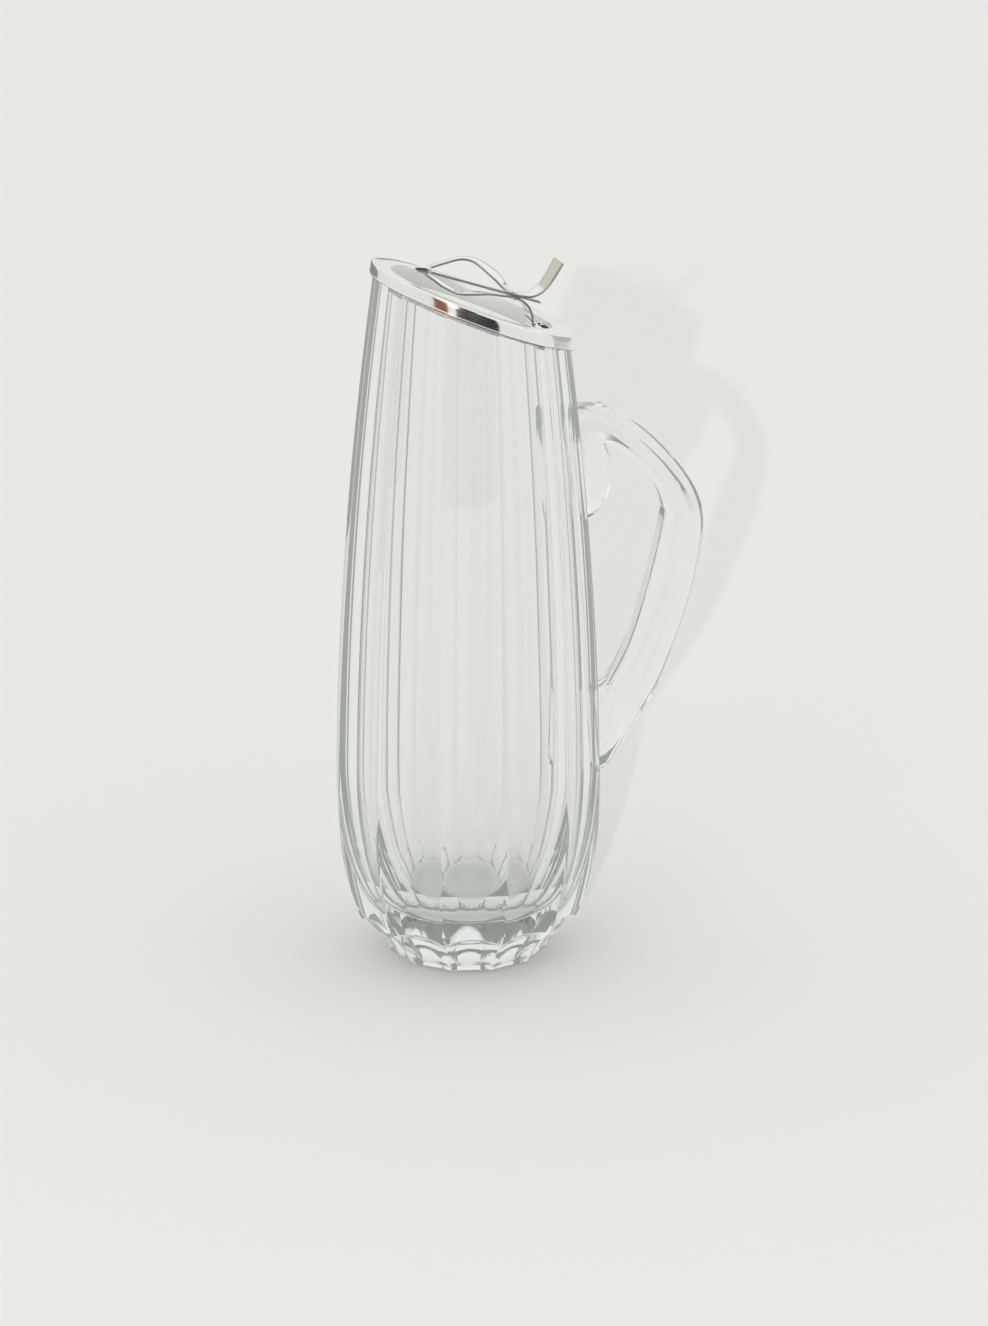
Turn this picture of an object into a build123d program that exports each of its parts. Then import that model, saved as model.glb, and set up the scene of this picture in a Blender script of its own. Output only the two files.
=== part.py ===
# Fluted crystal decanter with a slanted silver rim, an applied glass handle
# and a hinged openwork ice guard. Sizes are in millimetres.
# The origin is the centre of the foot, +Z is up and +X points to the handle.
import os
from math import asin, atan, cos, radians, sin, sqrt, tan

from build123d import *

os.makedirs("parts", exist_ok=True)

# Outer form of the glass, measured on the ridges between the flutes
foot_radius = 25.5
belly_radius = 53.8
belly_height = 66.0
lip_radius = 36.6
lip_height = 284.5
taper_power = 1.8
flute_count = 12
flute_depth = 2.7

# Slope of the cut mouth, which falls from the lip to the handle's side
rim_slant = 21.8

# Wall, base and cavity of the glass
wall_at_lip = 6.0
wall_at_belly = 9.0
base_thickness = 24.5
floor_radius = 19.0
cavity_curve_height = 56.0

# Thumbprint cuts round the base, one below each flute
thumbprint_radius = 45.0
thumbprint_floor_radius = 28.3
thumbprint_slope = 0.75

# Silver collar, bedded on the rim in a thin layer of plaster
cement_gap = 0.3
collar_thickness = 0.8
collar_band_height = 3.7
collar_skirt_height = 5.6
bead_height = 0.9
bead_overhang = 0.4

# Applied handle
handle_width = 15.0
handle_outer_facet = 4.4
handle_inner_facet = 3.6
handle_sunk_end = 12.0

# Hinge of the ice guard, inside the collar on the handle side
pin_radius = 0.8
pin_running_gap = 0.05
pin_head_radius = 1.4
pin_head_height = 0.6
knuckle_radius = 1.6
knuckle_length = 9.6
knuckle_side_gap = 0.15
ear_thickness = 1.0
ear_radius = 1.9
pin_stand_off = 2.3
pin_below_rim = 4.9
bracket_thickness = 0.8
bracket_height = 4.8
bracket_margin = 0.25
bracket_rivet_radius = 0.7
bracket_rivet_head_radius = 1.2
bracket_rivet_head_height = 0.6
bracket_rivet_seat = 0.03
heel_drop = 2.5
heel_width = 5.8
heel_gap = 0.2

# Strips of the ice guard
strip_thickness = 0.8
centre_strip_thickness = 0.6
centre_strip_width = 3.0
centre_strip_tip_width = 1.8
strip_gap = 0.08
strip_slope = -0.349
junction_rivet_radius = 0.65
junction_rivet_head_radius = 1.3
junction_rivet_head_height = 0.6
ferrule_length = 7.4
ferrule_wall = 0.45
ferrule_room = 2.8

half_pitch = 180.0 / flute_count
rim_fall = tan(radians(rim_slant))
rim_height = lip_height - rim_fall * lip_radius
rim_plane = Plane(
    origin=(0, 0, rim_height),
    x_dir=(cos(radians(rim_slant)), 0, -sin(radians(rim_slant))),
    z_dir=(sin(radians(rim_slant)), 0, cos(radians(rim_slant))),
)
collar_top = cement_gap + collar_thickness
far_above = lip_height + rim_fall * lip_radius
below_collar = lip_height - 2 * rim_fall * belly_radius - 2 * collar_skirt_height


# Ridge radius of the glass at a height: a quarter ellipse up to the belly,
# then a taper to the lip.
def ridge_radius(height):
    if height < belly_height:
        share = 1 - height / belly_height
        return foot_radius + (belly_radius - foot_radius) * sqrt(1 - share**2)
    share = (height - belly_height) / (lip_height - belly_height)
    return belly_radius - (belly_radius - lip_radius) * share**taper_power


def cavity_radius(height):
    share = (height - belly_height) / (lip_height - belly_height)
    wall = wall_at_belly + (wall_at_lip - wall_at_belly) * share
    return ridge_radius(height) - wall


# One cross-section of the fluted form: concave arcs that meet on the ridges.
def flute_section(height, offset):
    ridge = ridge_radius(height) + offset
    floor = ridge - flute_depth * ridge_radius(height) / belly_radius
    with BuildSketch(Plane.XY.offset(height)) as section:
        with BuildLine():
            for index in range(flute_count):
                start = 2 * half_pitch * index
                ThreePointArc(
                    PolarLine((0, 0), ridge, start, mode=Mode.PRIVATE) @ 1,
                    PolarLine((0, 0), floor, start + half_pitch, mode=Mode.PRIVATE) @ 1,
                    PolarLine((0, 0), ridge, start + 2 * half_pitch, mode=Mode.PRIVATE) @ 1,
                )
        make_face()
    return section.sketch


# Closed fluted form between the heights given, grown outwards by offset.
def fluted_form(heights, offset):
    with BuildPart() as form:
        loft([flute_section(height, offset) for height in heights])
    return form.part


def bowl_heights(steps):
    return [belly_height * (1 - cos(radians(90 * step / steps))) for step in range(steps + 1)]


def taper_heights(low, high, steps):
    return [low + (high - low) * step / steps for step in range(steps + 1)]


# Solid of the drinking space, shrunk inwards by inset, open past the rim.
def cavity_form(inset):
    blend_height = base_thickness + cavity_curve_height
    blend_radius = cavity_radius(blend_height)
    heights = taper_heights(blend_height, far_above, 8)
    taper = [(cavity_radius(height) - inset, height) for height in heights]
    with BuildPart() as space:
        with BuildSketch(Plane.XZ):
            with BuildLine():
                floor_line = Line((0, base_thickness), (floor_radius - inset, base_thickness))
                EllipticalCenterArc(
                    (floor_radius - inset, blend_height),
                    blend_radius - floor_radius,
                    cavity_curve_height,
                    start_angle=270,
                    arc_size=90,
                )
                side = Spline(taper)
                top = Line(side @ 1, (0, far_above))
                Line(top @ 1, floor_line @ 0)
            make_face()
        revolve(axis=Axis.Z)
    return space.part


# Part of a form that lies between two levels measured from the glass rim.
def rim_slice(form, low, high):
    with BuildPart() as piece:
        add(form)
        split(bisect_by=rim_plane.offset(high), keep=Keep.BOTTOM)
        if low is not None:
            split(bisect_by=rim_plane.offset(low), keep=Keep.TOP)
    return piece.part


upper_heights = taper_heights(below_collar, far_above, 6)
glass_outside = fluted_form(bowl_heights(8) + taper_heights(belly_height, far_above, 11)[1:], 0)
rim_outside = fluted_form(upper_heights, 0)
glass_inside = cavity_form(0)
cement_inside = cavity_form(cement_gap)
collar_inside = cavity_form(collar_top)
cement_outside = fluted_form(upper_heights, cement_gap)
collar_outside = fluted_form(upper_heights, collar_top)
bead_outside = fluted_form(upper_heights, collar_top + bead_overhang)


# The thumbprint cutter's axis lies outside and below the sloping floor of the cut.
def make_glass_body():
    lean = atan(thumbprint_slope)
    cutter = Plane(
        origin=(thumbprint_floor_radius + thumbprint_radius * cos(lean), 0, -thumbprint_radius * sin(lean)),
        z_dir=(sin(lean), 0, cos(lean)),
    )
    with BuildPart() as glass_body:
        add(rim_slice(glass_outside, None, 0))
        add(glass_inside, mode=Mode.SUBTRACT)
        with PolarLocations(0, flute_count, start_angle=half_pitch):
            with Locations(cutter.location):
                Cylinder(thumbprint_radius, 2 * belly_height, mode=Mode.SUBTRACT)
    return glass_body.part


def make_setting_cement():
    with BuildPart() as setting_cement:
        add(rim_slice(cement_outside, -collar_band_height, cement_gap))
        add(rim_slice(rim_outside, None, 0), mode=Mode.SUBTRACT)
        add(cement_inside, mode=Mode.SUBTRACT)
    with BuildPart() as inner_layer:
        add(rim_slice(glass_inside, -collar_skirt_height, 0))
        add(cement_inside, mode=Mode.SUBTRACT)
    with BuildPart() as layer:
        add(setting_cement.part)
        add(inner_layer.part)
    return layer.part


def make_rim_collar():
    with BuildPart() as outer_band:
        add(rim_slice(collar_outside, -collar_band_height, collar_top))
        add(rim_slice(bead_outside, -collar_band_height, bead_height - collar_band_height))
        add(rim_slice(cement_outside, None, cement_gap), mode=Mode.SUBTRACT)
        add(collar_inside, mode=Mode.SUBTRACT)
    with BuildPart() as skirt:
        add(rim_slice(cement_inside, -collar_skirt_height, cement_gap + collar_thickness / 2))
        add(collar_inside, mode=Mode.SUBTRACT)
    with BuildPart() as rim_collar:
        add(outer_band.part)
        add(skirt.part)
        add(rivet_shanks(), mode=Mode.SUBTRACT)
    return rim_collar.part


# Side outline of the handle from its top joint round to its inner joint, as
# distances out from the glass and heights.
handle_corners = [
    (11.6, 222.3),
    (24.2, 213.0),
    (44.9, 188.3),
    (49.0, 171.0),
    (26.6, 104.6),
    (3.7, 73.0),
]
handle_inner_corners = [
    (6.0, 107.0),
    (16.1, 125.0),
    (33.0, 178.0),
    (28.4, 190.4),
    (14.2, 205.0),
]
handle_joint_corners = [
    (11.0, 196.0),
    (8.7, 182.0),
    (4.2, 175.5),
]


def beside_glass(corners):
    return [(ridge_radius(height) + distance, height) for distance, height in corners]


def make_glass_handle():
    top_height = handle_corners[0][1]
    low_height = handle_corners[-1][1]
    sunk_ends = beside_glass([
        (-handle_sunk_end, low_height - handle_sunk_end / 2),
        (-handle_sunk_end, handle_inner_corners[0][1]),
    ])
    top_ends = beside_glass([
        (-handle_sunk_end, handle_joint_corners[-1][1]),
        (-handle_sunk_end, top_height),
    ])
    outer = beside_glass(handle_corners)
    inner = beside_glass(handle_inner_corners)
    joint = beside_glass(handle_joint_corners)
    with BuildPart() as glass_handle:
        with BuildSketch(Plane.XZ):
            with BuildLine():
                Polyline(outer + sunk_ends + inner + joint + top_ends, close=True)
            make_face()
        extrude(amount=handle_width / 2, both=True)
        side_edges = glass_handle.edges().filter_by(Plane.XZ)
        chamfer(side_edges.filter_by(lambda edge: on_run(edge, outer)), handle_outer_facet)
        chamfer(side_edges.filter_by(lambda edge: on_run(edge, inner)), handle_inner_facet)
        add(rim_slice(glass_outside, None, 0), mode=Mode.SUBTRACT)
    return max(glass_handle.part.solids(), key=lambda solid: solid.center().X)


# True for an edge whose middle lies on a run between two of the corners.
def on_run(edge, corners):
    middle = edge.center()
    for start, end in zip(corners, corners[1:]):
        half_way = ((start[0] + end[0]) / 2, (start[1] + end[1]) / 2)
        if abs(middle.X - half_way[0]) < 0.01 and abs(middle.Z - half_way[1]) < 0.01:
            return True
    return False


# Hinge position: the pin runs along Y, inside the collar's skirt.
def skirt_radius(height):
    return cavity_radius(height) - collar_top


plate_face = skirt_radius(rim_height - rim_fall * lip_radius) - bracket_thickness
pin_x = plate_face - pin_stand_off
pin_z = rim_height + collar_top - rim_fall * pin_x - pin_below_rim
pin_plane = Plane(origin=(pin_x, 0, pin_z), z_dir=(0, 1, 0))
ear_inner_y = knuckle_length / 2 + knuckle_side_gap
ear_outer_y = ear_inner_y + ear_thickness
rivet_y = ear_outer_y + pin_head_height + bracket_margin + bracket_rivet_head_radius
bracket_width = 2 * (rivet_y + bracket_rivet_head_radius + bracket_margin)


# Planes on the plate's inner face, square to it, one for each bracket rivet.
def rivet_planes():
    wall_lean = skirt_radius(pin_z) - skirt_radius(pin_z + 1)
    face_radius = skirt_radius(pin_z) - bracket_thickness
    planes = []
    for side in (-1, 1):
        azimuth = side * asin(rivet_y / face_radius)
        planes.append(Plane(
            origin=(face_radius * cos(azimuth), face_radius * sin(azimuth), pin_z),
            z_dir=(cos(azimuth), sin(azimuth), wall_lean),
        ))
    return planes


def rivet_shanks():
    with BuildPart() as shanks:
        with Locations(*rivet_planes()):
            Cylinder(
                bracket_rivet_radius, bracket_thickness + collar_thickness * 0.6,
                align=(Align.CENTER, Align.CENTER, Align.MIN),
            )
    return shanks.part


def make_hinge_bracket():
    plate_bottom = pin_z - bracket_height / 2
    with BuildPart() as plate:
        with Locations((pin_x, 0, plate_bottom)):
            Box(lip_radius, bracket_width, bracket_height, align=(Align.MIN, Align.CENTER, Align.MIN))
        add(collar_inside, mode=Mode.INTERSECT)
        add(cavity_form(collar_top + bracket_thickness), mode=Mode.SUBTRACT)
    with BuildPart() as hinge_bracket:
        add(plate.part)
        for side in (-1, 1):
            middle = side * (ear_inner_y + ear_outer_y) / 2
            with BuildSketch(Plane.XZ.offset(-middle)) as ear:
                with Locations((pin_x, pin_z)):
                    Circle(ear_radius)
                with Locations(((pin_x + plate_face) / 2, pin_z)):
                    Rectangle(plate_face - pin_x, 2 * ear_radius)
            extrude(ear.sketch, amount=ear_thickness / 2, both=True)
        with Locations(pin_plane):
            Cylinder(pin_radius, bracket_width, mode=Mode.SUBTRACT)
        add(rivet_shanks(), mode=Mode.SUBTRACT)
    return hinge_bracket.part


def make_bracket_rivets():
    with BuildPart() as bracket_rivets:
        add(rivet_shanks())
        with Locations(*[plane.offset(-bracket_rivet_seat) for plane in rivet_planes()]):
            Cone(
                bracket_rivet_head_radius * 0.6, bracket_rivet_head_radius, bracket_rivet_head_height,
                align=(Align.CENTER, Align.CENTER, Align.MAX),
            )
            Cylinder(
                bracket_rivet_radius, 2 * bracket_rivet_seat,
                align=(Align.CENTER, Align.CENTER, Align.MIN),
            )
    return bracket_rivets.part


def make_hinge_pin():
    with BuildPart() as hinge_pin:
        with Locations(pin_plane):
            Cylinder(pin_radius, 2 * ear_outer_y)
        for side in (-1, 1):
            with Locations(Plane(origin=(pin_x, side * ear_outer_y, pin_z), z_dir=(0, side, 0))):
                Cone(
                    pin_head_radius, pin_head_radius * 0.6, pin_head_height,
                    align=(Align.CENTER, Align.CENTER, Align.MIN),
                )
    return hinge_pin.part


# Rolled tube on the pin. Its heel meets the bracket and stops the guard at rest.
def make_hinge_knuckle():
    with BuildPart() as heel:
        with Locations((pin_x, 0, pin_z - heel_drop)):
            Box(
                lip_radius, heel_width, heel_drop - pin_radius,
                align=(Align.MIN, Align.CENTER, Align.MIN),
            )
        add(cavity_form(collar_top + bracket_thickness + heel_gap), mode=Mode.INTERSECT)
    with BuildPart() as hinge_knuckle:
        add(heel.part)
        with Locations(pin_plane):
            Cylinder(knuckle_radius, knuckle_length)
            Cylinder(pin_radius + pin_running_gap, 2 * knuckle_length, mode=Mode.SUBTRACT)
    return hinge_knuckle.part


# The guard's strips are measured from the hinge pin. The middle one is straight,
# from the tip over the mouth to its tail, and the other two lie flat above and
# below it at the tip and at the junction.
tip = (-47.4, 28.2)
tail = -0.4
junction = -10.9


# Height of a strip where it lies flat on the middle one: side is 1 above, -1 below.
def stacked(x, side):
    step = centre_strip_thickness / 2 + strip_gap + strip_thickness / 2
    return tip[1] + strip_slope * (x - tip[0]) + side * step / cos(atan(strip_slope))


# Stations (x, y, z, width, twist in degrees), chosen by eye along each sweep.
lever_stations = [
    (tip[0], 0.0, stacked(tip[0], 1), 2.0, 0),
    (-43.4, 4.2, 28.4, 2.8, 0),
    (-36.9, 9.0, 28.3, 3.2, 0),
    (-29.4, 11.0, 28.9, 3.4, 5),
    (-23.9, 10.0, 27.9, 3.8, 22),
    (-19.4, 7.0, 24.8, 4.4, 38),
    (-16.3, 3.4, 21.6, 5.0, 4),
    (-13.7, 1.0, stacked(-13.7, 1) + 0.7, 5.4, -6),
    (junction, 0.0, stacked(junction, 1), 6.0, 0),
    (-8.7, 0.0, stacked(-8.7, 1), 6.4, 0),
    (-4.1, 0.0, 15.1, 7.4, 0),
    (0.3, 0.0, 17.4, 8.6, 0),
    (4.1, 0.0, 22.2, 9.6, 0),
    (7.5, 0.0, 27.8, 10.4, 0),
]
strap_stations = [
    (tip[0], 0.0, stacked(tip[0], -1), 2.0, 0),
    (-44.1, -4.8, 25.3, 3.0, 0),
    (-41.4, -8.5, 23.3, 3.6, 0),
    (-36.9, -11.0, 21.2, 4.8, 0),
    (-30.9, -10.8, 20.5, 5.6, 0),
    (-24.9, -8.2, 19.3, 5.6, 0),
    (-19.4, -4.8, 17.4, 5.4, 0),
    (-13.3, -0.6, stacked(-13.3, -1) - 0.1, 5.8, 0),
    (junction, 0.0, stacked(junction, -1), 6.4, 0),
    (-8.6, 0.0, stacked(-8.6, -1) - 0.1, 7.2, 0),
    (-6.1, 0.0, 11.2, 8.4, 0),
    (-4.8, 0.0, 7.6, 9.2, 0),
    (-4.6, 0.0, 4.4, knuckle_length, 0),
    (-3.3, 0.0, 1.6, knuckle_length, 0),
    (-0.6, 0.0, 0.2, knuckle_length, 0),
]


# Flat ribbon lofted through the stations. Its end faces along the last run.
def ribbon(stations):
    points = [Vector(pin_x + x, y, pin_z + z) for x, y, z, _, _ in stations]
    sections = []
    for index, (_, _, _, width, twist) in enumerate(stations):
        before = points[max(index - 1, 0)]
        after = points[min(index + 1, len(points) - 1)]
        along = (after - before).normalized()
        across = Vector(-along.Y, along.X, 0).normalized().rotate(Axis((0, 0, 0), tuple(along)), twist)
        with BuildSketch(Plane(origin=points[index], x_dir=across, z_dir=along)) as section:
            Rectangle(width, strip_thickness)
        sections.append(section.sketch)
    with BuildPart() as strip:
        loft(sections)
    return strip.part


# Plane on the middle of the straight strip at a distance x from the pin.
def strip_plane(x):
    height = tip[1] + strip_slope * (x - tip[0])
    return Plane(
        origin=(pin_x + x, 0, pin_z + height),
        x_dir=(1, 0, strip_slope),
        z_dir=(-strip_slope, 0, 1),
    )


def centre_ribbon():
    length = (tail - tip[0]) / cos(atan(strip_slope))
    with BuildPart() as strip:
        with BuildSketch(strip_plane(tip[0]).offset(-centre_strip_thickness / 2)):
            with BuildLine():
                Polyline(
                    (0, -centre_strip_tip_width / 2),
                    (length * 0.6, -centre_strip_width / 2),
                    (length, -centre_strip_width / 2),
                    (length, centre_strip_width / 2),
                    (length * 0.6, centre_strip_width / 2),
                    (0, centre_strip_tip_width / 2),
                    close=True,
                )
            make_face()
        extrude(amount=centre_strip_thickness)
    return strip.part


def drill_junction(strip):
    with BuildPart() as drilled:
        add(strip)
        with Locations(strip_plane(junction)):
            Cylinder(junction_rivet_radius, 20 * strip_thickness, mode=Mode.SUBTRACT)
    return drilled.part


def make_lever_strip():
    return drill_junction(ribbon(lever_stations))


def make_strap_strip():
    with BuildPart() as strap_strip:
        add(drill_junction(ribbon(strap_stations)))
        with Locations(pin_plane):
            Cylinder(knuckle_radius, 2 * knuckle_length, mode=Mode.SUBTRACT)
    return strap_strip.part


def make_centre_strip():
    return drill_junction(centre_ribbon())


def make_junction_rivet():
    half_stack = centre_strip_thickness / 2 + strip_gap + strip_thickness
    head_seat = half_stack + 2 * strip_gap
    with BuildPart() as junction_rivet:
        with Locations(strip_plane(junction)):
            Cylinder(junction_rivet_radius, 2 * head_seat)
        for side in (-1, 1):
            face = strip_plane(junction).offset(side * head_seat)
            with Locations(Plane(origin=face.origin, z_dir=face.z_dir * side)):
                Cone(
                    junction_rivet_head_radius, junction_rivet_head_radius * 0.55, junction_rivet_head_height,
                    align=(Align.CENTER, Align.CENTER, Align.MIN),
                )
    return junction_rivet.part


# Small pointed cap that holds the three strips together at the spout end.
def make_tip_ferrule(strips):
    high = 2 * (strip_thickness + strip_gap + ferrule_wall) + centre_strip_thickness + 0.2
    wide = ferrule_room + 2 * ferrule_wall
    mouth = strip_plane(tip[0] + ferrule_length * 0.28)
    back = Plane(origin=mouth.origin, x_dir=(0, 1, 0), z_dir=mouth.x_dir)
    with BuildPart() as tip_ferrule:
        sections = []
        for shift, scale in ((0.0, 1.0), (-0.35, 0.86), (-0.82, 0.36)):
            with BuildSketch(back.offset(shift * ferrule_length)) as section:
                RectangleRounded(wide * scale, high * scale, 0.3 * scale)
            sections.append(section.sketch)
        loft(sections)
        for strip in strips:
            add(strip, mode=Mode.SUBTRACT)
    return max(tip_ferrule.part.solids(), key=lambda solid: solid.volume)


def save(piece, name):
    piece.label = name
    export_step(piece, f"parts/{name}.step")


lever_strip = make_lever_strip()
strap_strip = make_strap_strip()
centre_strip = make_centre_strip()

save(make_glass_body(), "glass_body")
save(make_glass_handle(), "glass_handle")
save(make_setting_cement(), "setting_cement")
save(make_rim_collar(), "rim_collar")
save(make_hinge_bracket(), "hinge_bracket")
save(make_bracket_rivets(), "bracket_rivets")
save(make_hinge_pin(), "hinge_pin")
save(make_hinge_knuckle(), "hinge_knuckle")
save(lever_strip, "lever_strip")
save(strap_strip, "strap_strip")
save(centre_strip, "centre_strip")
save(make_junction_rivet(), "junction_rivet")
save(make_tip_ferrule([lever_strip, strap_strip, centre_strip]), "tip_ferrule")
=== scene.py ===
# Looks of the fluted crystal decanter: cut glass, polished silver, a pale studio.
# Lengths are in millimetres until a mesh is made, and the frame is the part's own.
import math

import bpy
from mathutils import Matrix, Vector


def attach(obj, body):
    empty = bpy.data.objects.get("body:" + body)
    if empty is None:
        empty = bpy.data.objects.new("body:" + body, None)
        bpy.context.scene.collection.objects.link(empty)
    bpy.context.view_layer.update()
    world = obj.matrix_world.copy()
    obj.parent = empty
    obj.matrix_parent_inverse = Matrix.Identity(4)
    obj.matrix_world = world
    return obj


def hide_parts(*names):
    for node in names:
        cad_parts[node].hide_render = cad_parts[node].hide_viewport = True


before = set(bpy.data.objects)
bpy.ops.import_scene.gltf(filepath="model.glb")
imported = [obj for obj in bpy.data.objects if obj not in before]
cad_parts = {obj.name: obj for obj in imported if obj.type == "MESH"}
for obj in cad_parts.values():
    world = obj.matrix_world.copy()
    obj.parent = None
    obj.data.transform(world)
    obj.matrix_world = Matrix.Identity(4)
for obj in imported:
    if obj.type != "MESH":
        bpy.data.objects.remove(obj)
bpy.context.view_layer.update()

MM = 0.001

# Outer form of the glass, on the ridges between the flutes
FOOT_RADIUS = 25.5
BELLY_RADIUS = 53.8
BELLY_HEIGHT = 66.0
LIP_RADIUS = 36.6
LIP_HEIGHT = 284.5
TAPER_POWER = 1.8
FLUTES = 12
FLUTE_DEPTH = 2.7
HALF_PITCH = math.pi / FLUTES

# Slope of the cut mouth, and its height on the axis
RIM_SLANT = math.radians(21.8)
RIM_FALL = math.tan(RIM_SLANT)
RIM_HEIGHT = LIP_HEIGHT - RIM_FALL * LIP_RADIUS
SHEAR_START = 180.0

# Wall, base and cavity
WALL_AT_LIP = 6.0
WALL_AT_BELLY = 9.0
BASE_THICKNESS = 24.5
FLOOR_RADIUS = 19.0
CURVE_HEIGHT = 56.0

# Thumbprint cuts round the base: one round hollow under each flute
PRINT_RADIUS = 34.0
PRINT_CENTRE_OUT = 62.2
PRINT_CENTRE_HEIGHT = -8.7
PRINT_LOW = 0.5
PRINT_HIGH = 20.0

# Above the thumbprints the columns spread evenly again over this height
PRINT_BLEND = 6.0
NARROWEST_CREASE = 0.04
WIDEST_CREASE = 0.96

# Silver collar
CEMENT_GAP = 0.3
COLLAR_THICKNESS = 0.8
COLLAR_TOP = CEMENT_GAP + COLLAR_THICKNESS
BAND_HEIGHT = 3.7
SKIRT_HEIGHT = 5.6
BEAD_HEIGHT = 0.7
BEAD_OVERHANG = 0.2
COLLAR_EDGE = 0.25
PANEL_DEPTH = 0.5

# Mesh fineness: columns, and rows from one height to another in so many steps
COLUMNS_IN_PRINT = 7
COLUMNS_BESIDE_PRINT = 7
FOOT_TURN = 0.9
FOOT_ROWS = 12
OUTSIDE_BANDS = [
    (PRINT_LOW, 2.0, 10),
    (2.0, 17.0, 26),
    (17.0, 22.0, 26),
    (22.0, 30.0, 9),
    (30.0, SHEAR_START, 40),
    (SHEAR_START, LIP_HEIGHT, 26),
]
CURVE_ROWS = 60
TAPER_ROWS = 50
FOOT_RINGS = (0.35, 0.7, 0.9)
FLOOR_RINGS = (0.75, 0.4)
HALVINGS = 30
RIM_STEPS = 12

# Angles above which an edge is shaded sharp, in degrees
CRISP = 8
SOFT = 50
COLLAR_CRISP = 30
RIVET_CRISP = 40
ON_BODY = 0.2


def ridge_radius(height):
    if height < BELLY_HEIGHT:
        share = 1 - max(height, 0) / BELLY_HEIGHT
        return FOOT_RADIUS + (BELLY_RADIUS - FOOT_RADIUS) * math.sqrt(1 - share**2)
    share = (height - BELLY_HEIGHT) / (LIP_HEIGHT - BELLY_HEIGHT)
    return BELLY_RADIUS - (BELLY_RADIUS - LIP_RADIUS) * share**TAPER_POWER


def cavity_radius(height):
    share = (height - BELLY_HEIGHT) / (LIP_HEIGHT - BELLY_HEIGHT)
    return ridge_radius(height) - WALL_AT_BELLY - (WALL_AT_LIP - WALL_AT_BELLY) * share


def flute_radius(angle, height, grow=0.0):
    """Radius of the fluted form at an angle from the middle of a flute."""
    ridge = ridge_radius(height) + grow
    floor = ridge - FLUTE_DEPTH * ridge_radius(height) / BELLY_RADIUS
    centre = (ridge**2 - floor**2) / (2 * (ridge * math.cos(HALF_PITCH) - floor))
    arc = centre - floor
    return centre * math.cos(angle) - math.sqrt(arc**2 - (centre * math.sin(angle)) ** 2)


def print_radius(angle, height):
    """Radius at which a thumbprint hollow meets a ray from the axis."""
    across = PRINT_CENTRE_OUT * math.sin(angle)
    inside = PRINT_RADIUS**2 - across**2 - (height - PRINT_CENTRE_HEIGHT) ** 2
    if inside <= 0:
        return math.inf
    return PRINT_CENTRE_OUT * math.cos(angle) - math.sqrt(inside)


def outer_radius(angle, height):
    return min(flute_radius(angle, height), print_radius(angle, height))


def crease_angle(height):
    """Angle from the flute's middle at which the thumbprint's edge lies."""
    if height <= PRINT_LOW or height >= PRINT_HIGH + PRINT_BLEND:
        return HALF_PITCH / 2
    low = 0.0
    high = HALF_PITCH
    if print_radius(low, height) >= flute_radius(low, height):
        relax = (height - PRINT_HIGH) / PRINT_BLEND
        return HALF_PITCH * min(max(relax, NARROWEST_CREASE), 0.5)
    if print_radius(high, height) <= flute_radius(high, height):
        return HALF_PITCH * WIDEST_CREASE
    for _ in range(HALVINGS):
        middle = (low + high) / 2
        if print_radius(middle, height) < flute_radius(middle, height):
            low = middle
        else:
            high = middle
    return min(max(low, HALF_PITCH * NARROWEST_CREASE), HALF_PITCH * WIDEST_CREASE)


def pitch_angles(crease):
    """Angles across one pitch, from ridge to ridge, with columns on the creases."""
    half = [crease * step / COLUMNS_IN_PRINT for step in range(COLUMNS_IN_PRINT)]
    rest = HALF_PITCH - crease
    half += [crease + rest * step / COLUMNS_BESIDE_PRINT for step in range(COLUMNS_BESIDE_PRINT)]
    return [-HALF_PITCH] + [-angle for angle in reversed(half[1:])] + half


def column_angles(crease):
    """Pairs of the angle round the axis and the angle from the flute's middle."""
    columns = []
    for flute in range(FLUTES):
        middle = HALF_PITCH * (2 * flute + 1)
        columns += [(middle + angle, angle) for angle in pitch_angles(crease)]
    return columns


def rim_level(x, offset=0.0):
    return RIM_HEIGHT + offset / math.cos(RIM_SLANT) - RIM_FALL * x


def meet_rim(radius_at, turn, offset=0.0):
    """Radius and height at which a wall meets a plane level with the rim."""
    height = RIM_HEIGHT
    radius = radius_at(height)
    for _ in range(RIM_STEPS):
        radius = radius_at(height)
        height = rim_level(radius * math.cos(turn), offset)
    return radius, height


def sheared(height, top):
    """Height of a row that leans with the mouth, where the wall ends at top."""
    if height <= SHEAR_START:
        return height
    share = (height - SHEAR_START) / (LIP_HEIGHT - SHEAR_START)
    return SHEAR_START + share * (top - SHEAR_START)


def polar(radius, turn, height):
    return (radius * math.cos(turn) * MM, radius * math.sin(turn) * MM, height * MM)


def new_object(name, verts, faces, material):
    mesh = bpy.data.meshes.new(name)
    mesh.from_pydata(verts, [], faces)
    mesh.update()
    mesh.materials.append(material)
    piece = bpy.data.objects.new(name, mesh)
    bpy.context.scene.collection.objects.link(piece)
    return piece


def bridge(first, second, count):
    """Quads between two closed rings of vertices."""
    faces = []
    for i in range(count):
        after = (i + 1) % count
        faces.append((first + i, first + after, second + after, second + i))
    return faces


def shade(piece, degrees):
    for face in piece.data.polygons:
        face.use_smooth = True
    piece.data.set_sharp_from_angle(angle=math.radians(degrees))


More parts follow.
